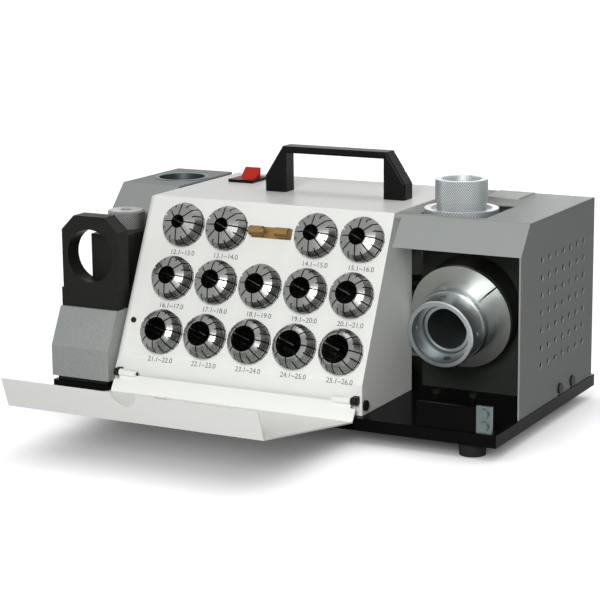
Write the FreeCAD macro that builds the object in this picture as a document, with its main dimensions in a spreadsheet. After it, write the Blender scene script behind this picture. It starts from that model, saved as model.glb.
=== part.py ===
import FreeCAD, Part
import Sketcher
import os
import re

# Bench drill bit sharpener with a rack of fourteen collets behind a fold-down lid.
# Millimetres.  X runs to the right, Y to the back, Z up; the origin is on the table
# below the middle of the machine with its lid folded open.

SIZES = {
    "base_width": "450", "base_depth": "240", "base_thick": "11", "foot_height": "12",
    "foot_radius": "12.5", "foot_inset_x": "28", "foot_inset_y": "16", "foot_recess_radius": "6",
    "foot_recess_depth": "5", "screw_radius": "2.5", "screw_head_radius": "4.8",
    "screw_head_height": "2.6", "close_fit": "0.04", "run_fit": "0.05",
    "sheet": "1.5", "rear_y": "234", "box_left": "-161.5", "box_width": "256.8",
    "box_foot_y": "8.9", "box_kink_z": "38.4", "box_top_z": "180.5", "panel_lean": "25",
    "box_bend": "8", "side_opening_y": "111", "side_opening_low": "5", "side_opening_high": "172",
    "collet_columns": "5", "collet_pitch_x": "46.2", "collet_middle_x": "-21.4",
    "collet_row_low": "26.6", "collet_pitch_s": "51.2", "collet_length": "46", "collet_stand": "17",
    "collet_tail_radius": "15.7", "collet_cone_radius": "20.3", "collet_cone_length": "33",
    "collet_groove_radius": "18", "collet_groove_end": "35.5", "collet_radius": "20.5",
    "collet_collar_end": "37", "collet_shoulder": "17", "collet_shoulder_end": "43.5", "collet_lip": "1.2",
    "collet_slot": "1.2", "collet_slot_root": "8", "collet_rear_root": "1.8",
    "rack_depth": "22", "rack_left": "-145", "rack_width": "238.5", "rack_low_s": "4",
    "rack_height": "147", "rack_thick": "2", "rack_play": "0.6",
    "lid_left": "-157", "lid_width": "250", "lid_reach": "172", "lid_sheet": "1.2",
    "lid_hinge_y": "3", "lid_hinge_z": "25", "lid_barrel_radius": "3.4", "lid_pin_radius": "1.6",
    "lid_kink_y": "-6", "lid_kink_z": "9", "lid_bend_y": "-162", "lid_rise": "9",
    "lid_tip_z": "58.5", "lid_notch_x": "-35", "lid_notch_radius": "12", "lid_barrel_length": "18",
    "pin_length": "24",
    "catch_x": "-22", "catch_s": "129", "catch_length": "40", "catch_depth": "10",
    "catch_plate": "2.5", "barrel_radius": "4.5", "barrel_length": "13", "ball_radius": "3",
    "ball_show": "1.2", "ball_play": "0.2", "strike_y": "-139.5", "strike_width": "11", "strike_thick": "3",
    "strike_height": "18", "strike_foot": "12", "strike_base": "1.5", "knuckle_length": "5",
    "knuckle_gap": "0.4", "bracket_height": "7",
    "handle_left": "-71.5", "handle_span": "146", "handle_y": "139.5", "handle_depth": "18.5",
    "handle_top": "224.3", "handle_bar": "6.5", "handle_leg": "22", "handle_slope_z": "195.3",
    "handle_slope_run": "18.8", "handle_screw_radius": "3", "handle_screw_length": "16", "handle_round": "2",
    "switch_x": "-132", "switch_y": "174", "switch_width": "27", "switch_depth": "32",
    "bezel_height": "3", "bezel_wall": "3", "switch_sink": "16", "rocker_rise": "12",
    "rocker_play": "0.5", "rocker_pivot_z": "176",
    "right_left": "97", "right_end": "224", "right_top": "180.2", "right_top_y": "74",
    "flange_drop": "26.3", "flange_lean": "37.5", "flange_start": "6", "window_x": "97",
    "window_y": "84", "window_width": "81", "window_depth": "76",
    "vent_radius": "3.2", "vent_y": "104", "vent_pitch_y": "17.2", "vent_z": "49",
    "vent_pitch_z": "15.8", "slot_height": "14", "slot_first_y": "150",
    "slot_second_y": "181", "plate_x": "131", "plate_y": "192", "plate_width": "35",
    "plate_depth": "40", "plate_thick": "1",
    "left_end": "-226", "left_gap": "1", "left_front_y": "109", "left_slope_z": "157",
    "left_top_y": "131", "rear_port_x": "-190.5", "spindle_y": "183", "spindle_z": "95",
    "rear_port_radius": "26", "rear_port_wall": "3", "rear_port_length": "30",
    "rear_port_lip": "1.2", "rear_port_lip_height": "0.6",
    "pedestal_width": "63", "pedestal_depth": "104", "spacer_height": "4",
    "spacer_inset": "4", "pedestal_kink_z": "44", "pedestal_lean_run": "17",
    "pedestal_top": "78.5", "pedestal_wall": "8", "block_front_y": "20", "block_top": "96",
    "block_depth": "82", "ring_left": "-224", "ring_width": "62", "ring_top": "165.5",
    "ring_thick": "18", "ring_chamfer": "14", "ring_bore": "25", "ring_centre_z": "128",
    "post_y": "82", "post_x": "-192", "post_left": "-203", "post_width": "37", "post_depth": "60",
    "post_height": "50", "post_stud": "5", "post_stud_height": "14", "knob_radius": "17.5",
    "knob_height": "17",
    "knob_chamfer": "1.5",
    "bulk_y": "131", "bulk_thick": "3", "bulk_left": "97", "bulk_width": "125",
    "bulk_top": "160", "port_x": "145.2", "port_y": "111", "port_z": "85.2", "port_tilt": "9",
    "port_radius": "48.6", "port_bore": "34.05", "port_reach": "40", "disc_radius": "48.2",
    "disc_thick": "4", "disc_split": "1.6", "sleeve_radius": "34", "sleeve_tail": "26",
    "sleeve_step": "20", "sleeve_chamfer": "1.5", "sleeve_front": "26", "sleeve_bore": "19",
    "spigot_radius": "24.5", "spigot_length": "8", "nut_radius": "31.4", "nut_front": "49.6",
    "nut_recess": "27", "nut_recess_depth": "13", "nut_throat": "22", "nut_step": "23",
    "spanner_radius": "3", "spanner_depth": "6", "bulk_relief": "2",
    "top_x": "138.3", "top_y": "124", "top_plate_left": "98", "top_plate_width": "80",
    "top_plate_y": "90", "top_plate_depth": "66", "top_plate_thick": "6", "top_ring_radius": "33.4",
    "top_rim_radius": "27.5", "top_ring_height": "15", "top_rim_depth": "3", "neck_radius": "22.2",
    "top_sleeve_radius": "23.7", "top_sleeve_z": "187", "top_sleeve_top": "207.5",
    "top_sleeve_bore": "18", "keyway": "5", "top_ring_gap": "0.3",
    "shaft_left": "-203", "shaft_length": "362", "shaft_radius": "8", "motor_left": "-115",
    "motor_length": "170", "motor_radius": "48", "motor_wall": "5", "bearing_radius": "17",
    "bearing_width": "12", "rotor_radius": "30", "rotor_inset": "35", "cradle_left": "-95",
    "cradle_width": "130", "cradle_depth": "80", "cradle_height": "50", "wheel_radius": "39",
    "wheel_width": "22", "wheel_bevel": "7", "wheel_right_x": "130", "wheel_left_x": "-201",
    "inlet_x": "-60", "inlet_z": "40", "inlet_radius": "13", "inlet_flange": "3",
    "inlet_barrel": "8", "inlet_bore": "4.2", "inlet_reach": "14",
    "guard_x": "150", "guard_width": "56", "guard_y": "2", "guard_thick": "2.5",
    "guard_height": "22", "clip_width": "14", "clip_height": "24", "clip_thick": "3",
    "clip_screw_radius": "4.2", "clip_screw_height": "2", "bolt_radius": "4", "bolt_height": "3.5",
    "bolt_left_x": "121", "bolt_right_x": "157", "bolt_y": "110", "side_screw_y": "14",
    "side_screw_z": "19.4",
}
COLLET_BORES = [13, 14, 15, 16, 17, 18, 19, 20, 21, 22, 23, 24, 25, 26]
COLLET_ROWS = [(2, [0, 1, 3, 4]), (1, [0, 1, 2, 3, 4]), (0, [0, 1, 2, 3, 4])]

doc = FreeCAD.newDocument("drill_bit_sharpener")
sheet = doc.addObject("Spreadsheet::Sheet", "Sizes")
for row, (alias, value) in enumerate(SIZES.items(), start=1):
    sheet.set(f"A{row}", alias)
    sheet.set(f"B{row}", value)
    sheet.setAlias(f"B{row}", alias)
doc.recompute()

FRONT = "(lid_reach - base_depth) / 2"
PANEL_TURN = "90 - panel_lean"
NODES = {}


def ex(text):
    """Expression with every size name pointed at the sheet."""
    def pointed(match):
        word = match.group()
        return "Sizes." + word if word in SIZES else word
    return re.sub(r"[A-Za-z_]\w*", pointed, str(text))


def bind(thing, **sizes):
    for name, text in sizes.items():
        thing.setExpression(name, ex(text))
    return thing


def put(thing, x="0", y="0", z="0", axis=None, angle="0", local=False):
    """Place a piece; y counts from the front edge of the base, z from its underside."""
    if axis:
        thing.Placement = FreeCAD.Placement(FreeCAD.Vector(), FreeCAD.Rotation(FreeCAD.Vector(*axis), 10))
        thing.setExpression("Placement.Rotation.Angle", ex(angle))
    thing.setExpression("Placement.Base.x", ex(x))
    thing.setExpression("Placement.Base.y", ex(y if local else f"({y}) + {FRONT}"))
    thing.setExpression("Placement.Base.z", ex(z if local else f"({z}) + foot_height"))
    return thing


def box(x, y, z, length, width, height, **where):
    block = bind(doc.addObject("Part::Box", "Block"), Length=length, Width=width, Height=height)
    return put(block, x, y, z, **where)


def rod(x, y, z, radius, height, axis=None, angle="0", local=False):
    cylinder = bind(doc.addObject("Part::Cylinder", "Rod"), Radius=radius, Height=height)
    return put(cylinder, x, y, z, axis, angle, local)


def cut(base, *tools):
    thing = doc.addObject("Part::Cut", "Trim")
    thing.Base = base
    thing.Tool = tools[0] if len(tools) == 1 else group(tools)
    return thing


def shared(base, tool):
    thing = doc.addObject("Part::Common", "Shared")
    thing.Base = base
    thing.Tool = tool
    return thing


def fuse(*parts):
    thing = doc.addObject("Part::MultiFuse", "Join")
    thing.Shapes = list(parts)
    return thing


def group(parts):
    thing = doc.addObject("Part::Compound", "Group")
    thing.Links = list(parts)
    return thing


def node(label, thing):
    thing.Label = label
    NODES[label] = thing
    return thing


def outline(body, plane, corners, circles=()):
    """Closed sketch whose corners and hole centres are all held from the origin."""
    sketch = body.newObject("Sketcher::SketchObject", "Outline")
    face = [item for item in body.Origin.OriginFeatures if item.Role == plane][0]
    sketch.AttachmentSupport = [(face, "")]
    sketch.MapMode = "FlatFace"
    count = len(corners)
    spots = [FreeCAD.Vector(10 + 7 * i, 5 + 3 * i * i, 0) for i in range(count)]
    for i in range(count):
        sketch.addGeometry(Part.LineSegment(spots[i], spots[(i + 1) % count]), False)
    for i in range(count):
        sketch.addConstraint(Sketcher.Constraint("Coincident", i, 2, (i + 1) % count, 1))
    for i, (across, up) in enumerate(corners):
        hold(sketch, i, 1, across, up)
    for across, up, radius in circles:
        at = sketch.addGeometry(Part.Circle(FreeCAD.Vector(20, 20, 0), FreeCAD.Vector(0, 0, 1), 5), False)
        hold(sketch, at, 3, across, up)
        index = sketch.addConstraint(Sketcher.Constraint("Radius", at, 5.0))
        sketch.setExpression(f"Constraints[{index}]", ex(radius))
    return sketch


def hold(sketch, geometry, point, across, up):
    for kind, text, axis in (("DistanceX", across, -2), ("DistanceY", up, -1)):
        if text == "0":
            sketch.addConstraint(Sketcher.Constraint("PointOnObject", geometry, point, axis))
        else:
            index = sketch.addConstraint(Sketcher.Constraint(kind, -1, 1, geometry, point, 10.0))
            sketch.setExpression(f"Constraints[{index}]", ex(text))


def padded(plane, corners, length, circles=()):
    body = doc.addObject("PartDesign::Body", "Padded")
    pad = body.newObject("PartDesign::Pad", "Pad")
    pad.Profile = outline(body, plane, corners, circles)
    bind(pad, Length=length)
    body.Tip = pad
    return body


def turned(corners):
    """Profile of (radius, height) corners turned about the body's Z axis."""
    body = doc.addObject("PartDesign::Body", "Turned")
    sketch = outline(body, "XZ_Plane", corners)
    turn = body.newObject("PartDesign::Revolution", "Turn")
    turn.Profile = sketch
    turn.ReferenceAxis = (sketch, ["V_Axis"])
    turn.Angle = 360
    body.Tip = turn
    return body


def rounded(body, radius, wanted):
    """Fillet the edges of the body whose middle point passes the test."""
    doc.recompute()
    names = []
    for i, edge in enumerate(body.Tip.Shape.Edges, start=1):
        middle = edge.valueAt((edge.FirstParameter + edge.LastParameter) / 2)
        if wanted(edge, middle):
            names.append(f"Edge{i}")
    last = body.Tip
    fillet = body.newObject("PartDesign::Fillet", "Fillet")
    fillet.Base = (last, names)
    bind(fillet, Radius=radius)
    body.Tip = fillet
    return body


def screws(places, axis, angle, head_radius, head_height, shank_radius, shank_length):
    """Group of like screws, heads outward along the turned Z axis."""
    made = []
    for x, y, z in places:
        profile = [("0", "0"), (shank_radius, "0"), (shank_radius, shank_length),
                   (head_radius, shank_length), (head_radius, f"{shank_length} + {head_height}"),
                   ("0", f"{shank_length} + {head_height}")]
        made.append(put(turned(profile), x, y, z, axis, angle))
    return group(made)


def panel_point(along, out):
    """Height along the sloping panel and distance out from it, as y and z."""
    return (f"box_foot_y + ({along}) * sin(panel_lean) - ({out}) * cos(panel_lean)",
            f"box_kink_z + ({along}) * cos(panel_lean) + ({out}) * sin(panel_lean)")


# Base plate on four screwed rubber feet.
foot_spots = []
for side in ("foot_inset_x - base_width / 2", "base_width / 2 - foot_inset_x"):
    for depth in ("foot_inset_y", "base_depth - foot_inset_y"):
        foot_spots.append((side, depth))
base = box("-base_width / 2", "0", "0", "base_width", "base_depth", "base_thick")
foot_taps = [rod(x, y, "-1", "screw_radius", "9") for x, y in foot_spots]
node("base_plate", cut(base, *foot_taps))
feet = []
for x, y in foot_spots:
    profile = [("screw_radius + close_fit", "foot_recess_depth"),
               ("foot_recess_radius", "foot_recess_depth"),
               ("foot_recess_radius", "0"), ("foot_radius - 1", "0"), ("foot_radius", "foot_height"),
               ("screw_radius + close_fit", "foot_height")]
    feet.append(put(turned(profile), x, y, "-foot_height"))
node("rubber_feet", group(feet))
node("foot_screws", screws([(x, y, "8") for x, y in foot_spots], (1, 0, 0), "180", "screw_head_radius",
                           "screw_head_height", "screw_radius", "8 + foot_height - foot_recess_depth"))

# White sheet cover, and the flat sloping panel let into its front.
top_y = "(box_foot_y + (box_top_z - box_kink_z) * tan(panel_lean))"
shell = padded("YZ_Plane", [("box_foot_y", "base_thick"), ("box_foot_y", "box_kink_z"),
                            (top_y, "box_top_z"),
                            ("rear_y", "box_top_z"), ("rear_y", "base_thick")], "box_width")
rounded(shell, "box_bend", lambda edge, mid: abs(mid.x) < 0.01 and mid.z > 60 and mid.y < 220)
put(shell, "box_left")
hollow = padded("YZ_Plane", [("box_foot_y + sheet", "base_thick - 5"),
                             ("box_foot_y + sheet", "box_kink_z - sheet * tan(panel_lean / 2)"),
                             (top_y + " + sheet * tan(45 - panel_lean / 2)", "box_top_z - sheet"),
                             ("rear_y - sheet", "box_top_z - sheet"), ("rear_y - sheet", "base_thick - 5")],
                "box_width - 2 * sheet")
rounded(hollow, "box_bend - sheet", lambda edge, mid: abs(mid.x) < 0.01 and mid.z > 60 and mid.y < 220)
put(hollow, "box_left + sheet")
openings = []
collet_spots = []
for row, columns in COLLET_ROWS:
    for column in columns:
        x = f"collet_middle_x + ({column} - (collet_columns - 1) / 2) * collet_pitch_x"
        collet_spots.append((x, f"collet_row_low + {row} * collet_pitch_s"))
cone_at_panel = "(collet_tail_radius + (collet_cone_radius - collet_tail_radius)" \
                " * (collet_length - collet_stand) / collet_cone_length)"
for x, along in collet_spots:
    y, z = panel_point(along, "-sheet * 3")
    openings.append(rod(x, y, z, cone_at_panel + " + close_fit", "sheet * 6", (1, 0, 0), PANEL_TURN))
openings.append(box("box_left - 5", "side_opening_y", "side_opening_low", "box_width + 10",
                    "rear_y - 8 - side_opening_y", "side_opening_high - side_opening_low"))
openings.append(box("switch_x + bezel_wall", "switch_y + bezel_wall", "box_top_z - 5",
                    "switch_width - 2 * bezel_wall", "switch_depth - 2 * bezel_wall", "10"))
handle_feet = ("handle_left + handle_leg / 2", "handle_left + handle_span - handle_leg / 2")
for x in handle_feet:
    openings.append(rod(x, "handle_y + handle_depth / 2", "box_top_z - 5",
                        "handle_screw_radius + close_fit", "10"))
openings.append(rod("inlet_x", "rear_y - 5", "inlet_z", "inlet_barrel + close_fit", "10", (1, 0, 0), "270"))
openings.append(rod("box_left + box_width - 5", "side_screw_y", "side_screw_z", "screw_radius + close_fit",
                    "10", (0, 1, 0), "90"))
sheet_work = cut(shell, hollow, *openings)
slab_y, slab_z = panel_point("0", "-sheet")
panel_run = "(box_top_z - box_kink_z) / cos(panel_lean) - box_bend * tan(45 - panel_lean / 2)"
slab = box("box_left + sheet", slab_y, slab_z, "box_width - 2 * sheet", panel_run, "2 * sheet",
           axis=(1, 0, 0), angle=PANEL_TURN)
node("main_cover", cut(sheet_work, slab))
node("collet_panel", shared(sheet_work, slab))

# Rack plate that steadies the collet tails, its ends folded forward onto the panel.
rack_y, rack_z = panel_point("rack_low_s", "-rack_depth - rack_thick")
rack = box("rack_left", rack_y, rack_z, "rack_width", "rack_height", "rack_thick",
           axis=(1, 0, 0), angle=PANEL_TURN)
wings = []
for x in ("rack_left", "rack_left + rack_width - rack_thick"):
    wings.append(box(x, rack_y, rack_z, "rack_thick", "rack_height", "rack_thick + rack_depth - sheet",
                     axis=(1, 0, 0), angle=PANEL_TURN))
rack_holes = []
tail_at_rack = "(collet_tail_radius + (collet_cone_radius - collet_tail_radius)" \
               " * (collet_length - collet_stand - rack_depth) / collet_cone_length)"
for x, along in collet_spots:
    y, z = panel_point(along, "-rack_depth - rack_thick - 4")
    rack_holes.append(rod(x, y, z, tail_at_rack + " + rack_play", "rack_thick + 8", (1, 0, 0), PANEL_TURN))
node("collet_rack", cut(fuse(rack, *wings), *rack_holes))

# Collets with eight slots from each end.
slots = []
for i in range(4):
    for turn, low in ((45 * i, "collet_slot_root"), (45 * i + 22.5, "-collet_rear_root")):
        blade = box("-collet_radius - 5", "-collet_slot / 2", "0", "2 * collet_radius + 10", "collet_slot",
                    "collet_length", local=True)
        turned_blade = group([blade])
        put(turned_blade, "0", "0", low, (0, 0, 1), str(turn + 0.001), local=True)
        slots.append(turned_blade)
blades = group(slots)
for bore, (x, along) in zip(COLLET_BORES, collet_spots):
    hole = f"{bore} / 2"
    blank = turned([(hole, "0"), ("collet_tail_radius", "0"), ("collet_cone_radius", "collet_cone_length"),
                    ("collet_groove_radius", "collet_cone_length"),
                    ("collet_groove_radius", "collet_groove_end"), ("collet_radius", "collet_groove_end"),
                    ("collet_radius", "collet_collar_end"), ("collet_shoulder", "collet_shoulder_end"),
                    (f"{hole} + collet_lip", "collet_length"), (hole, "collet_length")])
    y, z = panel_point(along, "collet_stand - collet_length")
    node(f"collet_{bore}", put(cut(blank, blades), x, y, z, (1, 0, 0), PANEL_TURN))

# Fold-down lid: short hinge flange, floor and front lip bent from one sheet.
lid_bend_z = "lid_kink_z + (lid_kink_y - lid_bend_y) * tan(lid_rise)"
lid_plate = padded("YZ_Plane", [
    ("lid_hinge_y + lid_reach", "lid_hinge_z - lid_barrel_radius / 2"),
    ("lid_kink_y + lid_reach", "lid_kink_z"),
    ("lid_bend_y + lid_reach", lid_bend_z),
    ("lid_sheet", "lid_tip_z"),
    ("0", "lid_tip_z"),
    ("lid_bend_y + lid_reach - lid_sheet", f"{lid_bend_z} - lid_sheet"),
    ("lid_kink_y + lid_reach + lid_sheet * 0.3", "lid_kink_z - lid_sheet * 1.1"),
    ("lid_hinge_y + lid_reach + lid_sheet", "lid_hinge_z - lid_barrel_radius / 2 - lid_sheet / 2"),
], "lid_width")
put(lid_plate, "lid_left", "-lid_reach")
pin_bore = "lid_pin_radius + run_fit"
lid_solids = [lid_plate]
lid_cuts = [rod("lid_notch_x", "-lid_reach - lid_sheet", "lid_tip_z", "lid_notch_radius",
                "lid_reach + lid_bend_y + 2 * lid_sheet", (1, 0, 0), "270")]
brackets = []
for knuckle_x, barrel_x, pin_x in (
        ("lid_left", "lid_left + knuckle_length + knuckle_gap", "lid_left"),
        ("lid_left + lid_width - knuckle_length",
         "lid_left + lid_width - knuckle_length - knuckle_gap - lid_barrel_length",
         "lid_left + lid_width - pin_length")):
    lid_solids.append(rod(barrel_x, "lid_hinge_y", "lid_hinge_z", "lid_barrel_radius", "lid_barrel_length",
                          (0, 1, 0), "90"))
    lid_cuts.append(rod(f"{pin_x} - 1", "lid_hinge_y", "lid_hinge_z", pin_bore, "pin_length + 2",
                        (0, 1, 0), "90"))
    lid_cuts.append(box(f"{knuckle_x} - knuckle_gap", "lid_hinge_y - 6", "lid_hinge_z - 6",
                        "knuckle_length + 2 * knuckle_gap", "14", "12"))
    knuckle = rod(knuckle_x, "lid_hinge_y", "lid_hinge_z", "lid_barrel_radius", "knuckle_length",
                  (0, 1, 0), "90")
    tab = box(knuckle_x, "lid_hinge_y", "lid_hinge_z - bracket_height / 2", "knuckle_length",
              "box_foot_y - lid_hinge_y", "bracket_height")
    pin = rod(pin_x, "lid_hinge_y", "lid_hinge_z", "lid_pin_radius", "pin_length", (0, 1, 0), "90")
    brackets.append(fuse(knuckle, tab, pin))
node("lid", cut(fuse(*lid_solids), *lid_cuts))
node("hinge_brackets", group(brackets))
strike_z = "lid_kink_z + (lid_kink_y - strike_y) * tan(lid_rise)"
tongue = box("catch_x - strike_width / 2", "strike_y", strike_z, "strike_width", "strike_thick",
             "strike_height", axis=(1, 0, 0), angle="-lid_rise")
sole = box("catch_x - strike_foot / 2", "strike_y", strike_z, "strike_foot", "strike_foot", "strike_base",
           axis=(1, 0, 0), angle="-lid_rise")
node("lid_strike", fuse(tongue, sole))

# Brass double ball catch in the empty place of the top row.
plate_low_y, plate_low_z = panel_point("catch_s - catch_depth / 2", "0")
catch_plate = box("catch_x - catch_length / 2", plate_low_y, plate_low_z, "catch_length", "catch_depth",
                  "catch_plate", axis=(1, 0, 0), angle=PANEL_TURN)
axis_y, axis_z = panel_point("catch_s", "catch_plate + barrel_radius - 0.5")
barrels = []
ball_wells = []
ball_reach = "(ball_radius - ball_show)"
for side, x in (("left", "catch_x - catch_length / 2"),
                ("right", "catch_x + catch_length / 2 - barrel_length")):
    barrels.append(rod(x, axis_y, axis_z, "barrel_radius", "barrel_length", (0, 1, 0), "90"))
    inner = f"{x} + barrel_length - 8" if side == "left" else f"{x} - 1"
    ball_wells.append(rod(inner, axis_y, axis_z, "ball_radius + ball_play", "9", (0, 1, 0), "90"))
    centre = f"{x} + barrel_length - {ball_reach}" if side == "left" else f"{x} + {ball_reach}"
    ball = bind(doc.addObject("Part::Sphere", "Ball"), Radius="ball_radius")
    node(f"catch_ball_{side}", put(ball, centre, axis_y, axis_z))
node("ball_catch", cut(fuse(catch_plate, *barrels), *ball_wells))

# Carrying handle screwed through the cover top.
handle = padded("XZ_Plane", [
    ("0", "box_top_z"), ("0", "handle_slope_z"), ("handle_slope_run", "handle_top"),
    ("handle_span - handle_slope_run", "handle_top"), ("handle_span", "handle_slope_z"),
    ("handle_span", "box_top_z"), ("handle_span - handle_leg", "box_top_z"),
    ("handle_span - handle_leg", "handle_top - handle_bar"),
    ("handle_leg", "handle_top - handle_bar"), ("handle_leg", "box_top_z"),
], "handle_depth")
rounded(handle, "handle_round",
        lambda edge, mid: abs(edge.tangentAt(edge.FirstParameter).y) < 0.5 and mid.z > 182)
put(handle, "handle_left", "handle_y + handle_depth")
handle_taps = [rod(x, "handle_y + handle_depth / 2", "box_top_z - 1", "handle_screw_radius",
                   "handle_screw_length - sheet + 1") for x in handle_feet]
node("carry_handle", cut(handle, *handle_taps))
node("handle_screws", screws([(x, "handle_y + handle_depth / 2", "box_top_z + handle_screw_length - sheet")
                              for x in handle_feet], (1, 0, 0), "180", "handle_screw_radius * 1.9",
                             "handle_screw_radius", "handle_screw_radius", "handle_screw_length"))

# Rocker switch.
sink_width = "(switch_width - 2 * bezel_wall - 2 * close_fit)"
sink_depth = "(switch_depth - 2 * bezel_wall - 2 * close_fit)"
frame_top = box("switch_x", "switch_y", "box_top_z", "switch_width", "switch_depth", "bezel_height")
sink = box("switch_x + bezel_wall + close_fit", "switch_y + bezel_wall + close_fit",
           "box_top_z - switch_sink",
           sink_width, sink_depth, "switch_sink")
well = box("switch_x + 1.5 * bezel_wall", "switch_y + 1.5 * bezel_wall", "box_top_z - switch_sink + 1.5",
           "switch_width - 3 * bezel_wall", "switch_depth - 3 * bezel_wall", "switch_sink + bezel_height")
rocker_y = "(switch_y + switch_depth / 2)"
axle = rod("switch_x + bezel_wall + 0.3", rocker_y, "rocker_pivot_z", "2",
           "switch_width - 2 * bezel_wall - 0.6",
           (0, 1, 0), "90")
axle_hole = rod("switch_x + bezel_wall", rocker_y, "rocker_pivot_z", "2 + run_fit",
                "switch_width - 2 * bezel_wall",
                (0, 1, 0), "90")
node("switch_bezel", cut(fuse(frame_top, sink), well, axle_hole))
rocker_half = "(switch_depth / 2 - 1.5 * bezel_wall - rocker_play - 1)"
button = padded("YZ_Plane", [
    (f"{rocker_y} - {rocker_half} + 2", "box_top_z - switch_sink / 2"),
    (f"{rocker_y} + {rocker_half} - 2", "box_top_z - switch_sink / 2"),
    (f"{rocker_y} + {rocker_half}", "box_top_z + rocker_rise"),
    (rocker_y, "box_top_z + bezel_height"),
    (f"{rocker_y} - {rocker_half}", "box_top_z + bezel_height"),
], "switch_width - 3 * bezel_wall - 2 * rocker_play")
put(button, "switch_x + 1.5 * bezel_wall + rocker_play")
node("switch_rocker", fuse(button, axle))

# Right cover over the point grinding wheel, open to the front below its sloping lip.
lip_y = "(right_top_y - flange_drop * tan(flange_lean))"
lip_z = "(right_top - flange_drop)"
lip_skin = "sheet / cos(flange_lean)"
right_shell = padded("YZ_Plane", [(lip_y, "base_thick"), (lip_y, lip_z), ("right_top_y", "right_top"),
                                  ("rear_y", "right_top"), ("rear_y", "base_thick")],
                     "right_end - right_left")
put(right_shell, "right_left")
right_hollow = padded("YZ_Plane", [
    (f"{lip_y} - 5", "base_thick - 5"), (f"{lip_y} - 5", lip_z), (f"{lip_y} + {lip_skin}", lip_z),
    (f"right_top_y - sheet * tan(flange_lean) + {lip_skin}", "right_top - sheet"),
    ("rear_y - sheet", "right_top - sheet"), ("rear_y - sheet", "base_thick - 5"),
], "right_end - right_left - sheet + 5")
put(right_hollow, "right_left - 5")
right_cuts = [box("window_x - 5", "window_y", "right_top - 5", "window_width + 5", "window_depth", "10"),
              box("right_left - 1", f"{lip_y} - 5", f"{lip_z} - 5", "flange_start + 1",
                  f"right_top_y - {lip_y} + 4", "flange_drop + 4")]
for i in range(7):
    for j in range(7):
        right_cuts.append(rod("right_end - 5", f"vent_y + {i} * vent_pitch_y",
                              f"vent_z + {j} * vent_pitch_z",
                              "vent_radius", "10", (0, 1, 0), "90"))
for y in ("slot_first_y", "slot_second_y"):
    right_cuts.append(rod("right_end - 5", y, "base_thick + slot_height / 2", "screw_radius + close_fit",
                          "10",
                          (0, 1, 0), "90"))
    right_cuts.append(box("right_end - 5", f"{y} - screw_radius - close_fit", "base_thick - 1", "10",
                          "2 * (screw_radius + close_fit)", "slot_height / 2 + 1"))
node("right_cover", cut(right_shell, right_hollow, *right_cuts))
node("rating_plate", box("plate_x", "plate_y", "right_top", "plate_width", "plate_depth", "plate_thick"))

# Left rear cover with its round port and sleeve.
left_width = "(box_left - left_gap - left_end)"
left_shell = padded("YZ_Plane", [("left_front_y", "base_thick"), ("left_front_y", "left_slope_z"),
                                 ("left_top_y", "box_top_z"), ("rear_y", "box_top_z"),
                                 ("rear_y", "base_thick")],
                    left_width)
put(left_shell, "left_end")
left_hollow = padded("YZ_Plane", [
    ("left_front_y + sheet", "base_thick - 5"), ("left_front_y + sheet", "left_slope_z - sheet * 0.4"),
    ("left_top_y + sheet * 0.5", "box_top_z - sheet"), ("rear_y - sheet", "box_top_z - sheet"),
    ("rear_y - sheet", "base_thick - 5")], f"{left_width} + 5")
put(left_hollow, "left_end + sheet")
port_hole = rod("rear_port_x", "spindle_y", "box_top_z - 5", "rear_port_radius + close_fit", "10")
node("left_rear_cover", cut(left_shell, left_hollow, port_hole))
rear_port = turned([("rear_port_radius - rear_port_wall", "0"), ("rear_port_radius", "0"),
                    ("rear_port_radius", "rear_port_length"),
                    ("rear_port_radius + rear_port_lip", "rear_port_length"),
                    ("rear_port_radius + rear_port_lip", "rear_port_length + rear_port_lip_height"),
                    ("rear_port_radius - rear_port_wall", "rear_port_length + rear_port_lip_height")])
node("rear_port_sleeve", put(rear_port, "rear_port_x", "spindle_y", "box_top_z - rear_port_length"))

# Setting station: casting, blocks, ring and knurled knob.
node("pedestal_spacer", box("left_end + spacer_inset", "spacer_inset", "base_thick",
                            "pedestal_width - 2 * spacer_inset",
                            "pedestal_depth - 2 * spacer_inset", "spacer_height"))
cast_low = "(base_thick + spacer_height)"
casting = padded("YZ_Plane", [("0", cast_low), ("0", "pedestal_kink_z"),
                              ("pedestal_lean_run", "pedestal_top"),
                              ("pedestal_depth", "pedestal_top"), ("pedestal_depth", cast_low)],
                 "pedestal_width")
put(casting, "left_end")
cast_hollow = box("left_end + pedestal_wall", "pedestal_lean_run + pedestal_wall", f"{cast_low} - 1",
                  "pedestal_width - 2 * pedestal_wall",
                  "pedestal_depth - pedestal_lean_run - 2 * pedestal_wall",
                  f"pedestal_top - {cast_low} - pedestal_wall")
node("setting_pedestal", cut(casting, cast_hollow))
node("setting_base_block", box("left_end", "block_front_y", "pedestal_top", "pedestal_width", "block_depth",
                               "block_top - pedestal_top"))
ring_block = padded("XZ_Plane", [
    ("0", "block_top"), ("0", "ring_top - ring_chamfer"), ("ring_chamfer", "ring_top"),
    ("ring_width - ring_chamfer", "ring_top"), ("ring_width", "ring_top - ring_chamfer"),
    ("ring_width", "block_top")], "ring_thick", [("ring_width / 2", "ring_centre_z", "ring_bore")])
node("setting_ring_block", put(ring_block, "ring_left", "block_front_y + ring_thick"))
column = box("post_left", "block_front_y + ring_thick", "block_top", "post_width", "post_depth",
             "post_height")
stud = rod("post_x", "post_y", "block_top", "post_stud", "post_height + post_stud_height")
node("setting_post", fuse(column, stud))
knob = turned([("post_stud + run_fit", "0"), ("knob_radius", "0"),
               ("knob_radius", "knob_height - knob_chamfer"),
               ("knob_radius - knob_chamfer", "knob_height"), ("post_stud + run_fit", "knob_height")])
node("setting_knob", put(knob, "post_x", "post_y", "block_top + post_height"))

# Front port on its bulkhead; the chuck axis dips toward the front.
PORT_TURN = "90 + port_tilt"


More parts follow.
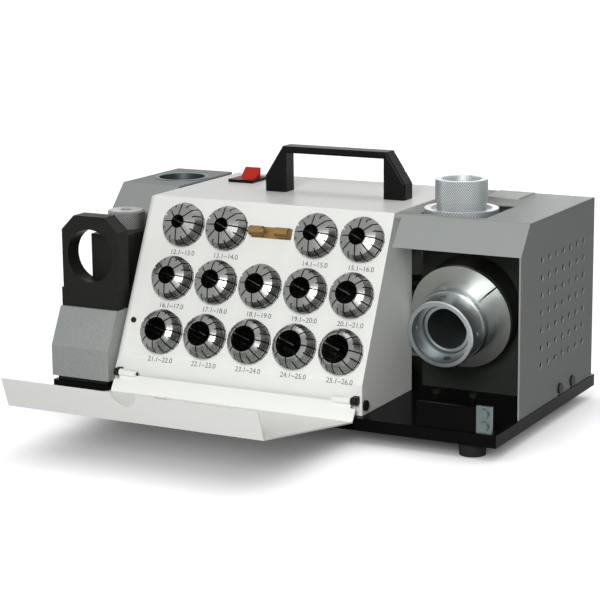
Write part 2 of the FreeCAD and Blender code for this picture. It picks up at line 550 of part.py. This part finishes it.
def along_port(distance):
    return ("port_x", f"port_y - ({distance}) * cos(port_tilt)", f"port_z - ({distance}) * sin(port_tilt)")


def on_port(thing, distance="0"):
    return put(thing, *along_port(distance), (1, 0, 0), PORT_TURN)


port_drill = rod(*along_port("-port_reach"), "port_bore + bulk_relief", "port_reach * 2", (1, 0, 0),
                 PORT_TURN)
bulkhead = box("bulk_left", "bulk_y", "base_thick", "bulk_width", "bulk_thick", "bulk_top - base_thick")
node("port_bulkhead", cut(bulkhead, port_drill))
port_drum = rod(*along_port("-port_reach"), "port_radius", "port_reach", (1, 0, 0), PORT_TURN)
port_bore = rod(*along_port("-port_reach * 2"), "port_bore", "port_reach * 3", (1, 0, 0), PORT_TURN)
behind = box("bulk_left - 50", "bulk_y", "-50", "bulk_width + 100", "100", "300")
node("front_port_body", cut(port_drum, port_bore, behind))
disc = turned([("port_bore", "0"), ("disc_radius", "0"), ("disc_radius", "disc_thick"),
               ("port_bore", "disc_thick")])
split = box("0", "-disc_split / 2", "-1", "disc_radius + 5", "disc_split", "disc_thick + 2", local=True)
put(split, "0", "0", "-1", (0, 0, 1), "40", local=True)
node("front_port_disc", on_port(cut(disc, split)))
chuck = turned([("sleeve_bore", "0"), ("sleeve_radius", "0"),
                ("sleeve_radius", "sleeve_tail + sleeve_step"),
                ("sleeve_radius - sleeve_chamfer", "sleeve_tail + sleeve_step + sleeve_chamfer"),
                ("sleeve_radius - sleeve_chamfer", "sleeve_tail + sleeve_front"),
                ("spigot_radius", "sleeve_tail + sleeve_front"),
                ("spigot_radius", "sleeve_tail + sleeve_front + spigot_length"),
                ("sleeve_bore", "sleeve_tail + sleeve_front + spigot_length")])
node("front_chuck_sleeve", on_port(chuck, "-sleeve_tail"))
nut_length = "(nut_front - sleeve_front)"
nut = turned([("spigot_radius + run_fit", "0"), ("nut_radius", "0"), ("nut_radius", f"{nut_length} - 1"),
              ("nut_radius - 1", nut_length), ("nut_recess", nut_length),
              ("nut_recess", f"{nut_length} - nut_recess_depth"),
              ("nut_step", f"{nut_length} - nut_recess_depth"),
              ("nut_throat", "spigot_length + 1"), ("spigot_radius + run_fit", "spigot_length + 1")])
spanner_holes = []
for i in range(4):
    hole = rod("nut_radius - spanner_depth", "0", f"{nut_length} / 2", "spanner_radius",
               "spanner_depth + 5",
               (0, 1, 0), "90", local=True)
    spanner_holes.append(put(group([hole]), "0", "0", "0", (0, 0, 1), str(90 * i), local=True))
node("front_chuck_nut", on_port(cut(nut, *spanner_holes), "sleeve_front"))

# Top port for thinning the point.
top_plate = box("top_plate_left", "top_plate_y", "bulk_top", "top_plate_width", "top_plate_depth",
                "top_plate_thick")
neck_hole = rod("top_x", "top_y", "bulk_top - 1", "neck_radius + run_fit", "top_plate_thick + 2")
node("top_port_plate", cut(top_plate, neck_hole))
top_ring = turned([("neck_radius + run_fit", "0"), ("top_ring_radius", "0"),
                   ("top_ring_radius", "top_ring_height"), ("top_rim_radius", "top_ring_height"),
                   ("top_rim_radius", "top_ring_height - top_rim_depth"),
                   ("neck_radius + run_fit", "top_ring_height - top_rim_depth")])
node("top_port_ring", put(top_ring, "top_x", "top_y", "bulk_top + top_plate_thick + top_ring_gap"))
neck_length = "(top_sleeve_z - bulk_top)"
top_sleeve = turned([("top_sleeve_bore", "0"), ("neck_radius", "0"), ("neck_radius", neck_length),
                     ("top_sleeve_radius", neck_length), ("top_sleeve_radius", "top_sleeve_top - bulk_top"),
                     ("top_sleeve_bore", "top_sleeve_top - bulk_top")])
key = box("-keyway / 2", "top_sleeve_bore - 3", "-1", "keyway", "keyway / 2 + 3",
          "top_sleeve_top - bulk_top + 2", local=True)
node("top_port_sleeve", put(cut(top_sleeve, key), "top_x", "top_y", "bulk_top"))

# Motor across the back with a grinding wheel on each end of its shaft.


def on_spindle(thing, x):
    return put(thing, x, "spindle_y", "spindle_z", (0, 1, 0), "90")


cradle = box("cradle_left", "spindle_y - cradle_depth / 2", "base_thick", "cradle_width", "cradle_depth",
             "cradle_height")
cradle_seat = rod("cradle_left - 5", "spindle_y", "spindle_z", "motor_radius", "cradle_width + 10",
                  (0, 1, 0), "90")
node("motor_cradle", cut(cradle, cradle_seat))
housing = turned([
    ("shaft_radius + 1", "0"), ("motor_radius - 6", "0"), ("motor_radius", "6"),
                  ("motor_radius", "motor_length - 6"),
    ("motor_radius - 6", "motor_length"), ("shaft_radius + 1", "motor_length"),
    ("shaft_radius + 1", "motor_length - motor_wall"), ("bearing_radius", "motor_length - motor_wall"),
    ("bearing_radius", "motor_length - motor_wall - bearing_width"),
    ("bearing_radius + 4", "motor_length - motor_wall - bearing_width"),
    ("bearing_radius + 4", "motor_length - motor_wall - 3"),
                  ("motor_radius - motor_wall", "motor_length - motor_wall - 5"),
    ("motor_radius - motor_wall", "motor_wall + 5"), ("bearing_radius + 4", "motor_wall + 3"),
    ("bearing_radius + 4", "motor_wall + bearing_width"), ("bearing_radius", "motor_wall + bearing_width"),
    ("bearing_radius", "motor_wall"), ("shaft_radius + 1", "motor_wall")])
node("motor_housing", on_spindle(housing, "motor_left"))
bearings = []
for x in ("motor_left + motor_wall", "motor_left + motor_length - motor_wall - bearing_width"):
    ring = turned([("shaft_radius + run_fit", "0"), ("bearing_radius", "0"),
                   ("bearing_radius", "bearing_width"),
                   ("shaft_radius + run_fit", "bearing_width")])
    bearings.append(on_spindle(ring, x))
node("motor_bearings", group(bearings))
node("motor_shaft", on_spindle(bind(doc.addObject("Part::Cylinder", "Shaft"), Radius="shaft_radius",
                                    Height="shaft_length"), "shaft_left"))
rotor = turned([("shaft_radius", "0"), ("rotor_radius", "0"),
                ("rotor_radius", "motor_length - 2 * rotor_inset"),
                ("shaft_radius", "motor_length - 2 * rotor_inset")])
node("motor_rotor", on_spindle(rotor, "motor_left + rotor_inset"))
for label, x in (("grinding_wheel_right", "wheel_right_x"), ("grinding_wheel_left", "wheel_left_x")):
    wheel = turned([("shaft_radius", "0"), ("wheel_radius - wheel_bevel", "0"),
                    ("wheel_radius", "wheel_bevel"),
                    ("wheel_radius", "wheel_width - wheel_bevel"),
                    ("wheel_radius - wheel_bevel", "wheel_width"),
                    ("shaft_radius", "wheel_width")])
    node(label, on_spindle(wheel, x))

# Cable gland, chip guard with its end clip, and loose fastenings.
inlet = turned([("inlet_bore", "0"), ("inlet_barrel", "0"),
                ("inlet_barrel", "inlet_reach - 6 - inlet_flange"),
                ("inlet_radius", "inlet_reach - 6 - inlet_flange"), ("inlet_radius", "inlet_reach - 6"),
                ("inlet_barrel", "inlet_reach - 6"), ("inlet_barrel", "inlet_reach - 3"),
                ("inlet_bore", "inlet_reach - 3")])
node("power_inlet", put(inlet, "inlet_x", "rear_y - (inlet_reach - 6 - inlet_flange)", "inlet_z",
                        (1, 0, 0), "270"))
node("chip_guard", box("guard_x", "guard_y", "base_thick", "guard_width", "guard_thick", "guard_height"))
clip = box("guard_x + guard_width", "guard_y", "base_thick", "clip_width", "clip_thick", "clip_height")
bumps = [rod("guard_x + guard_width + clip_width / 2", "guard_y", f"base_thick + clip_height * {share}",
             "clip_screw_radius", "clip_screw_height", (1, 0, 0), "90") for share in (0.27, 0.73)]
node("guard_clip", fuse(clip, *bumps))
bolts = []
for x in ("bolt_left_x", "bolt_right_x"):
    bolts.append(rod(x, "bolt_y", "base_thick", "bolt_radius", "bolt_height"))
node("base_bolts", group(bolts))
wall_screws = [("right_end - 4", "slot_first_y", "base_thick + slot_height / 2"),
               ("right_end - 4", "slot_second_y", "base_thick + slot_height / 2")]
side_places = [("box_left + box_width - 4", "side_screw_y", "side_screw_z")]
node("cover_screws", screws(wall_screws + side_places, (0, 1, 0), "90", "screw_head_radius", "2",
                            "screw_radius", "4"))

doc.recompute()
for thing in doc.Objects:
    if "Invalid" in thing.State or "Error" in thing.State:
        raise RuntimeError(thing.Label + " did not build")
os.makedirs("parts", exist_ok=True)
for label, thing in NODES.items():
    if thing.Shape.isNull() or not thing.Shape.isValid():
        raise RuntimeError(label + " is not a sound shape")
    thing.Shape.exportStep(f"parts/{label}.step")
print(len(NODES), "pieces written")
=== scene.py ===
import math

import bpy
from mathutils import Matrix, Vector


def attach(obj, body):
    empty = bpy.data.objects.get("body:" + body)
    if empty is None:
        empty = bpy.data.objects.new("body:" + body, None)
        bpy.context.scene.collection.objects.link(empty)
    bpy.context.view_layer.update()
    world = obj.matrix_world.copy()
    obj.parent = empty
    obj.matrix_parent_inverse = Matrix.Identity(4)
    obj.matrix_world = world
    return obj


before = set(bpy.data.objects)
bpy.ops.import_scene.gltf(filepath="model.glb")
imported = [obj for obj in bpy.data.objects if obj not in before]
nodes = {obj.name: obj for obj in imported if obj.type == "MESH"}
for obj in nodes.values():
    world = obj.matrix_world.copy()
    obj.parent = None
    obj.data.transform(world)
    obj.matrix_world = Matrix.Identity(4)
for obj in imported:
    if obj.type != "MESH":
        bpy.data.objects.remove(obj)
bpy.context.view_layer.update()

# Lengths are in metres and lamp powers in watts.
# Where the base plate's front edge and underside lie in the shared frame.
FRONT_Y = -0.034
BASE_Z = 0.012

# The sloping collet panel: its lean from upright, the middle of its foot and its own directions.
PANEL_LEAN = math.radians(25)
PANEL_FOOT = Vector((0, FRONT_Y + 0.0089, BASE_Z + 0.0384))
PANEL_UP = Vector((0, math.sin(PANEL_LEAN), math.cos(PANEL_LEAN)))
PANEL_OUT = Vector((0, -math.cos(PANEL_LEAN), math.sin(PANEL_LEAN)))
PANEL_TURN = Matrix((Vector((1, 0, 0)), PANEL_UP, PANEL_OUT)).transposed().to_4x4()

# Knurled cylinders as x, y and radius, whose knurl grooves get painted shade, and the front chuck's axis as a
# point and a direction, around which its bore walls get painted shade.
KNOB = (-0.192, FRONT_Y + 0.082, 0.0175)
TOP_PORT = (0.1383, FRONT_Y + 0.124, 0.028)
CHUCK_AXIS = ((0.1452, 0.03443, 0.09046), (0.0, 0.9877, 0.1564))

# What all the materials share.
NOISE_DETAIL = 3.0
ROUGH_SPREAD = 0.05
LEAST_ROUGH = 0.03
RELIEF_DEPTH = 0.0006
KNURL_PITCH = 0.0025
# Painted shade: bore walls that face the chuck's axis get this darker colour, and are made rougher.
BORE_SHADE_COLOUR = (0.16, 0.18, 0.185)
BORE_EXTRA_ROUGH = 0.2
BORE_LEAST_ARM = 0.005

# The collets' places on the panel, and the size ranges printed below them.
COLLET_MIDDLE_X = -0.0214
COLLET_PITCH_X = 0.0462
COLLET_FIRST_UP = 0.0266
COLLET_PITCH_UP = 0.0512
MIDDLE_COLUMN = 2
COLLET_ROWS = ((2, (0, 1, 3, 4)), (1, (0, 1, 2, 3, 4)), (0, (0, 1, 2, 3, 4)))
SMALLEST_TOP_SIZE = 13
SIZE_SPAN = 0.9
LABEL_HEIGHT = 0.0065
LABEL_RIGHT = 0.0018
LABEL_DOWN = 0.0255
LABEL_OUT = 0.00015

BUTTON_X = -0.1485
BUTTON_UP = 0.0355
BUTTON_RADIUS = 0.0026
BUTTON_HEIGHT = 0.0022
BUTTON_EDGE = 0.0007

FLOOR_SPAN = 30
FLOOR_GREY = 0.28
FLOOR_GLOW = 0.98
FLOOR_SHADE_REACH = 0.07
WORLD_LIGHT = 0.14
WORLD_SEEN = 1.0

# Camera solved from the photograph.
CAMERA_AT = (0.846, FRONT_Y - 1.504, BASE_Z + 0.474)
AZIMUTH, PITCH, ROLL = math.radians(28.2), math.radians(12.0), math.radians(-0.59)
SENSOR_MM = 36
LENS_MM = 120
CLIP_END = 50


def on_panel(x, along, out=0.0):
    """Point on the panel, x from its middle, up its slope from its foot and out from its face."""
    return PANEL_FOOT + Vector((x, 0, 0)) + PANEL_UP * along + PANEL_OUT * out


def maths(tree, kind, *values):
    """Output of a new math node; each value is a number or another node's output."""
    node = tree.nodes.new("ShaderNodeMath")
    node.operation = kind
    for socket, value in zip(node.inputs, values):
        if isinstance(value, (int, float)):
            socket.default_value = value
        else:
            tree.links.new(value, socket)
    return node.outputs["Value"]


def vector_maths(tree, kind, first, second):
    """Output of a new vector math node; each value is a tuple or another node's output."""
    node = tree.nodes.new("ShaderNodeVectorMath")
    node.operation = kind
    for socket, value in zip(node.inputs, (first, second)):
        if isinstance(value, tuple):
            socket.default_value = value
        else:
            tree.links.new(value, socket)
    return node.outputs["Value" if kind == "DOT_PRODUCT" else "Vector"]


def map_range(tree, value, low, high):
    """Output that runs from low to high as the value runs from 0 to 1."""
    node = tree.nodes.new("ShaderNodeMapRange")
    node.inputs["To Min"].default_value = low
    node.inputs["To Max"].default_value = high
    tree.links.new(value, node.inputs["Value"])
    return node.outputs["Result"]


def blend(tree, factor, first, second, kind="MIX"):
    """Output of a new colour mix; each colour is a tuple or another node's output."""
    node = tree.nodes.new("ShaderNodeMix")
    node.data_type = "RGBA"
    node.blend_type = kind
    for name, value in (("Factor", factor), ("A", first), ("B", second)):
        if isinstance(value, tuple):
            node.inputs[name].default_value = (*value, 1)
        elif isinstance(value, float):
            node.inputs[name].default_value = value
        else:
            tree.links.new(value, node.inputs[name])
    return node.outputs["Result"]


def diamonds(tree, centre, pitch):
    """Height from 0 to 1 of a diamond knurl on the outside of a vertical cylinder; 1 everywhere else. Also the
    mask for painted shade in the grooves.
    """
    def step(kind, *values):
        return maths(tree, kind, *values)

    middle_x, middle_y, radius = centre
    where = tree.nodes.new("ShaderNodeTexCoord")
    place = tree.nodes.new("ShaderNodeSeparateXYZ")
    tree.links.new(where.outputs["Object"], place.inputs["Vector"])
    facing = tree.nodes.new("ShaderNodeSeparateXYZ")
    tree.links.new(where.outputs["Normal"], facing.inputs["Vector"])
    east = step("SUBTRACT", place.outputs["X"], middle_x)
    north = step("SUBTRACT", place.outputs["Y"], middle_y)
    turns = float(round(radius * 2 * math.pi / pitch))
    around = step("MULTIPLY", step("ARCTAN2", north, east), turns)
    rise = step("MULTIPLY", place.outputs["Z"], 2 * math.pi / pitch)
    one = step("ADD", step("SINE", step("ADD", around, rise)), 1.0)
    two = step("ADD", step("SINE", step("SUBTRACT", around, rise)), 1.0)
    outward = step("ADD", step("MULTIPLY", facing.outputs["X"], east),
                   step("MULTIPLY", facing.outputs["Y"], north))
    smooth = step("LESS_THAN", outward, radius * 0.5)
    return step("MAXIMUM", step("MULTIPLY", step("MULTIPLY", one, two), 0.25), smooth)


def bore_faces(tree, centre, axis):
    """1 on faces that look towards the axis through the centre, such as the wall of a bore; 0 elsewhere. Used as
    the mask for painted shade in bores.
    """
    where = tree.nodes.new("ShaderNodeTexCoord")
    offset = vector_maths(tree, "SUBTRACT", where.outputs["Object"], centre)
    arm = vector_maths(tree, "CROSS_PRODUCT", offset, axis)
    towards = vector_maths(tree, "CROSS_PRODUCT", arm, axis)
    inward = vector_maths(tree, "DOT_PRODUCT", towards, where.outputs["Normal"])
    return maths(tree, "GREATER_THAN", inward, BORE_LEAST_ARM)


def material(name, colour, rough, metal=0.0, grain=600.0, bump=0.0, vary=0.06, stretch=(1, 1, 1), specular=0.5,
             knurl=None, groove_shade=(0.22, 0.24, 0.24), bore_shade_axis=None):
    """Principled surface whose colour, roughness and relief all vary with fine noise; knurl grooves and bore
    walls can be given painted shade.
    """
    look = bpy.data.materials.new(name)
    look.use_nodes = True
    tree = look.node_tree
    shader = tree.nodes["Principled BSDF"]
    shader.inputs["Metallic"].default_value = metal
    shader.inputs["Specular IOR Level"].default_value = specular
    where = tree.nodes.new("ShaderNodeTexCoord")
    mapping = tree.nodes.new("ShaderNodeMapping")
    mapping.inputs["Scale"].default_value = stretch
    tree.links.new(where.outputs["Object"], mapping.inputs["Vector"])
    noise = tree.nodes.new("ShaderNodeTexNoise")
    noise.inputs["Scale"].default_value = grain
    noise.inputs["Detail"].default_value = NOISE_DETAIL
    tree.links.new(mapping.outputs["Vector"], noise.inputs["Vector"])
    height = noise.outputs["Fac"]
    tint = map_range(tree, noise.outputs["Fac"], 1.0 - vary, 1.0 + vary)
    hue = blend(tree, 1.0, colour, tint, "MULTIPLY")
    roughness = map_range(tree, noise.outputs["Fac"], max(LEAST_ROUGH, rough - ROUGH_SPREAD),
                          min(1.0, rough + ROUGH_SPREAD))
    if knurl:
        # Painted shade: the knurl's grooves take the darker groove colour.
        height = diamonds(tree, knurl, KNURL_PITCH)
        hue = blend(tree, height, groove_shade, hue)
    # Painted shade: faces inside the bore take a darker colour, and are made rougher.
    if bore_shade_axis:
        shade_and_rough_inside = bore_faces(tree, *bore_shade_axis)
        hue = blend(tree, shade_and_rough_inside, hue, BORE_SHADE_COLOUR)
        roughness = maths(tree, "MULTIPLY_ADD", shade_and_rough_inside, BORE_EXTRA_ROUGH, roughness)
    tree.links.new(hue, shader.inputs["Base Color"])
    tree.links.new(roughness, shader.inputs["Roughness"])
    if bump:
        relief = tree.nodes.new("ShaderNodeBump")
        relief.inputs["Strength"].default_value = bump
        relief.inputs["Distance"].default_value = RELIEF_DEPTH
        tree.links.new(height, relief.inputs["Height"])
        tree.links.new(relief.outputs["Normal"], shader.inputs["Normal"])
    return look


white = material("white_powder_coat", (0.80, 0.81, 0.78), 0.38, grain=1500, bump=0.05, vary=0.015)
grey = material("grey_powder_coat", (0.31, 0.325, 0.315), 0.5, grain=1400, bump=0.18, vary=0.08,
                specular=0.03)
cast = material("painted_casting", (0.31, 0.325, 0.315), 0.55, grain=520, bump=0.55, vary=0.2, specular=0.2)
gloss_black = material("black_enamel", (0.003, 0.0035, 0.003), 0.16, grain=300, bump=0.02, vary=0.1,
                       specular=0.025)
satin_black = material("satin_black", (0.005, 0.005, 0.005), 0.3, grain=900, bump=0.05, vary=0.15,
                       specular=0.08)
dull_black = material("dull_black", (0.022, 0.026, 0.022), 0.4, grain=500, bump=0.04, vary=0.12, specular=0.1)
oxide = material("black_oxide", (0.013, 0.013, 0.011), 0.45, grain=700, bump=0.1, vary=0.25, specular=0.1)
collet_steel = material("collet_steel", (0.25, 0.255, 0.245), 0.27, metal=1.0, grain=900, bump=0.03, vary=0.1)
# The chuck's bore walls get painted shade.
chuck_steel = material("chuck_zinc", (0.43, 0.46, 0.47), 0.3, metal=1.0, grain=1200, bump=0.01, vary=0.05,
                       bore_shade_axis=CHUCK_AXIS)
dull_steel = material("dull_steel", (0.13, 0.16, 0.16), 0.38, metal=1.0, grain=600, bump=0.08, vary=0.2)
disc_steel = material("turned_disc", (0.42, 0.43, 0.40), 0.36, metal=1.0, grain=1500, bump=0.004, vary=0.03)
brass = material("brass", (0.27, 0.165, 0.06), 0.42, metal=1.0, grain=700, bump=0.04, vary=0.12)
rubber = material("black_rubber", (0.012, 0.012, 0.012), 0.75, grain=800, bump=0.15, vary=0.1, specular=0.2)
red = material("red_rocker", (0.48, 0.03, 0.02), 0.45, grain=500, bump=0.02, vary=0.05, specular=0.05)
grit = material("bonded_grit", (0.16, 0.14, 0.11), 0.85, grain=2200, bump=0.7, vary=0.3)
plate_metal = material("bare_plate", (0.52, 0.52, 0.50), 0.6, grain=900, bump=0.04, vary=0.06,
                       stretch=(0.05, 1, 1), specular=0.1)
# The knurled knob's groove colour is painted shade in its grooves.
knob_knurl = material("knurled_knob", (0.52, 0.53, 0.52), 0.4, metal=1.0, bump=0.9, groove_shade=(0.12, 0.12, 0.12),
                      knurl=KNOB)
port_knurl = material("knurled_port", (0.76, 0.79, 0.80), 0.38, metal=1.0, bump=0.9, knurl=TOP_PORT)
ink = material("printed_ink", (0.09, 0.09, 0.095), 0.6, grain=900, vary=0.1)

FINISH = {
    white: ["main_cover", "collet_panel", "lid", "collet_rack"],
    grey: ["right_cover", "left_rear_cover", "motor_housing"],
    cast: ["setting_pedestal"],
    gloss_black: ["base_plate", "chip_guard", "motor_cradle"],
    dull_black: ["port_bulkhead"],
    satin_black: ["carry_handle", "switch_bezel", "power_inlet", "top_port_plate"],
    oxide: ["setting_base_block", "setting_ring_block", "setting_post", "pedestal_spacer", "hinge_brackets",
            "front_port_body", "cover_screws", "foot_screws", "handle_screws", "base_bolts"],
    collet_steel: [f"collet_{size}" for size in range(13, 27)]
                  + ["motor_shaft", "motor_bearings", "motor_rotor", "catch_ball_left", "catch_ball_right"],
    chuck_steel: ["front_chuck_sleeve", "front_chuck_nut"],
    dull_steel: ["rear_port_sleeve", "guard_clip"],
    knob_knurl: ["setting_knob"],
    port_knurl: ["top_port_ring", "top_port_sleeve"],
    disc_steel: ["front_port_disc"],
    brass: ["ball_catch", "lid_strike"],
    rubber: ["rubber_feet"],
    red: ["switch_rocker"],
    grit: ["grinding_wheel_right", "grinding_wheel_left"],
    plate_metal: ["rating_plate"],
}
for surface, members in FINISH.items():
    for member in members:
        nodes[member].data.materials.clear()
        nodes[member].data.materials.append(surface)


def printed(name, words, where, size, body="machine"):
    """Flat printed words on the sloping panel."""
    curve = bpy.data.curves.new(name, "FONT")
    curve.body = words
    curve.size = size
    curve.align_x = "CENTER"
    curve.align_y = "CENTER"
    text = bpy.data.objects.new(name, curve)
    bpy.context.scene.collection.objects.link(text)
    text.matrix_world = Matrix.Translation(where) @ PANEL_TURN
    bpy.context.view_layer.update()
    bpy.ops.object.select_all(action="DESELECT")
    text.select_set(True)
    bpy.context.view_layer.objects.active = text
    bpy.ops.object.convert(target="MESH")
    text = bpy.context.view_layer.objects.active
    text.data.materials.clear()
    text.data.materials.append(ink)
    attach(text, body)


# Size ranges printed under the collets.
top_size = SMALLEST_TOP_SIZE
for row, columns in COLLET_ROWS:
    for column in columns:
        x = COLLET_MIDDLE_X + (column - MIDDLE_COLUMN) * COLLET_PITCH_X
        along = COLLET_FIRST_UP + row * COLLET_PITCH_UP
        words = f"{top_size - SIZE_SPAN:.1f}~{top_size}.0"
        printed(f"size_{top_size}", words, on_panel(x + LABEL_RIGHT, along - LABEL_DOWN, LABEL_OUT), LABEL_HEIGHT)
        top_size += 1

# Dark button on the panel's left margin, taken to be a rubber stop for the lid.
bpy.ops.mesh.primitive_cylinder_add(vertices=32, radius=BUTTON_RADIUS, depth=BUTTON_HEIGHT, location=(0, 0, 0))
button = bpy.context.object
button.name = "lid_button"
softened = button.modifiers.new("edge", "BEVEL")
softened.width = BUTTON_EDGE
softened.segments = 3
bpy.ops.object.modifier_apply(modifier="edge")
button.matrix_world = Matrix.Translation(on_panel(BUTTON_X, BUTTON_UP, BUTTON_HEIGHT / 2)) @ PANEL_TURN
button.data.materials.append(rubber)
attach(button, "machine")


def seen_straight(tree):
    """1 for rays from the camera, off gloss or through glass, and 0 for the light that falls on things."""
    ray = tree.nodes.new("ShaderNodeLightPath")
    found = ray.outputs["Is Camera Ray"]
    for kind in ("Is Glossy Ray", "Is Transmission Ray"):
        found = maths(tree, "MAXIMUM", found, ray.outputs[kind])
    return found


# Stage: pale floor that is seen as white and keeps the part's shadow, with a painted contact shadow from ambient
# occlusion in its glow; white surroundings, four lamps.
bpy.ops.mesh.primitive_plane_add(size=FLOOR_SPAN, location=(0, 0, 0))
floor = bpy.context.object
floor.name = "floor"
floor_look = bpy.data.materials.new("floor_white")
floor_look.use_nodes = True
floor_tree = floor_look.node_tree
floor_shade = floor_tree.nodes["Principled BSDF"]
floor_shade.inputs["Base Color"].default_value = (FLOOR_GREY, FLOOR_GREY, FLOOR_GREY, 1)
floor_shade.inputs["Roughness"].default_value = 0.9
floor_shade.inputs["Specular IOR Level"].default_value = 0.0
floor_shade.inputs["Emission Color"].default_value = (1, 1, 1, 1)
# Painted shadow: ambient occlusion dims the floor's glow near the part.
painted_floor_shadow = floor_tree.nodes.new("ShaderNodeAmbientOcclusion")
painted_floor_shadow.inputs["Distance"].default_value = FLOOR_SHADE_REACH
floor_glow = maths(floor_tree, "MULTIPLY", seen_straight(floor_tree), FLOOR_GLOW)
floor_glow = maths(floor_tree, "MULTIPLY", floor_glow, painted_floor_shadow.outputs["AO"])
floor_tree.links.new(floor_glow, floor_shade.inputs["Emission Strength"])
floor.data.materials.append(floor_look)

world = bpy.data.worlds.new("studio")
bpy.context.scene.world = world
world.use_nodes = True
world_tree = world.node_tree
backdrop = world_tree.nodes["Background"]
backdrop.inputs["Color"].default_value = (1, 1, 1, 1)
strength = map_range(world_tree, seen_straight(world_tree), WORLD_LIGHT, WORLD_SEEN)
world_tree.links.new(strength, backdrop.inputs["Strength"])


def lamp(name, where, target, power, size):
    """Square area lamp that faces its target."""
    light = bpy.data.lights.new(name, "AREA")
    light.energy = power
    light.size = size
    holder = bpy.data.objects.new(name, light)
    bpy.context.scene.collection.objects.link(holder)
    holder.location = where
    holder.rotation_euler = (Vector(target) - Vector(where)).to_track_quat("-Z", "Y").to_euler()


lamp("key", where=(0.5, -1.66, 0.95), target=(0, 0, 0.08), power=26.5, size=0.6)
lamp("flash", where=(0.83, -1.5, 0.5), target=(0, 0, 0.1), power=4, size=0.12)
lamp("top", where=(0.28, 0.35, 1.5), target=(0.1, 0.05, 0.15), power=6, size=1.0)
lamp("back", where=(-0.35, 1.9, 0.2), target=(0, 0, 0.1), power=10, size=0.3)

level = math.cos(PITCH)
look = Vector((-math.sin(AZIMUTH) * level, math.cos(AZIMUTH) * level, -math.sin(PITCH)))
right = Vector((math.cos(AZIMUTH), math.sin(AZIMUTH), 0))
up = right.cross(look)
right, up = (right * math.cos(ROLL) + up * math.sin(ROLL), up * math.cos(ROLL) - right * math.sin(ROLL))
lens = bpy.data.cameras.new("camera")
lens.sensor_width = SENSOR_MM
lens.lens = LENS_MM
lens.clip_end = CLIP_END
camera = bpy.data.objects.new("camera", lens)
bpy.context.scene.collection.objects.link(camera)
camera.matrix_world = Matrix.Translation(CAMERA_AT) @ Matrix((right, up, -look)).transposed().to_4x4()
bpy.context.scene.camera = camera
bpy.context.scene.view_settings.view_transform = "Standard"
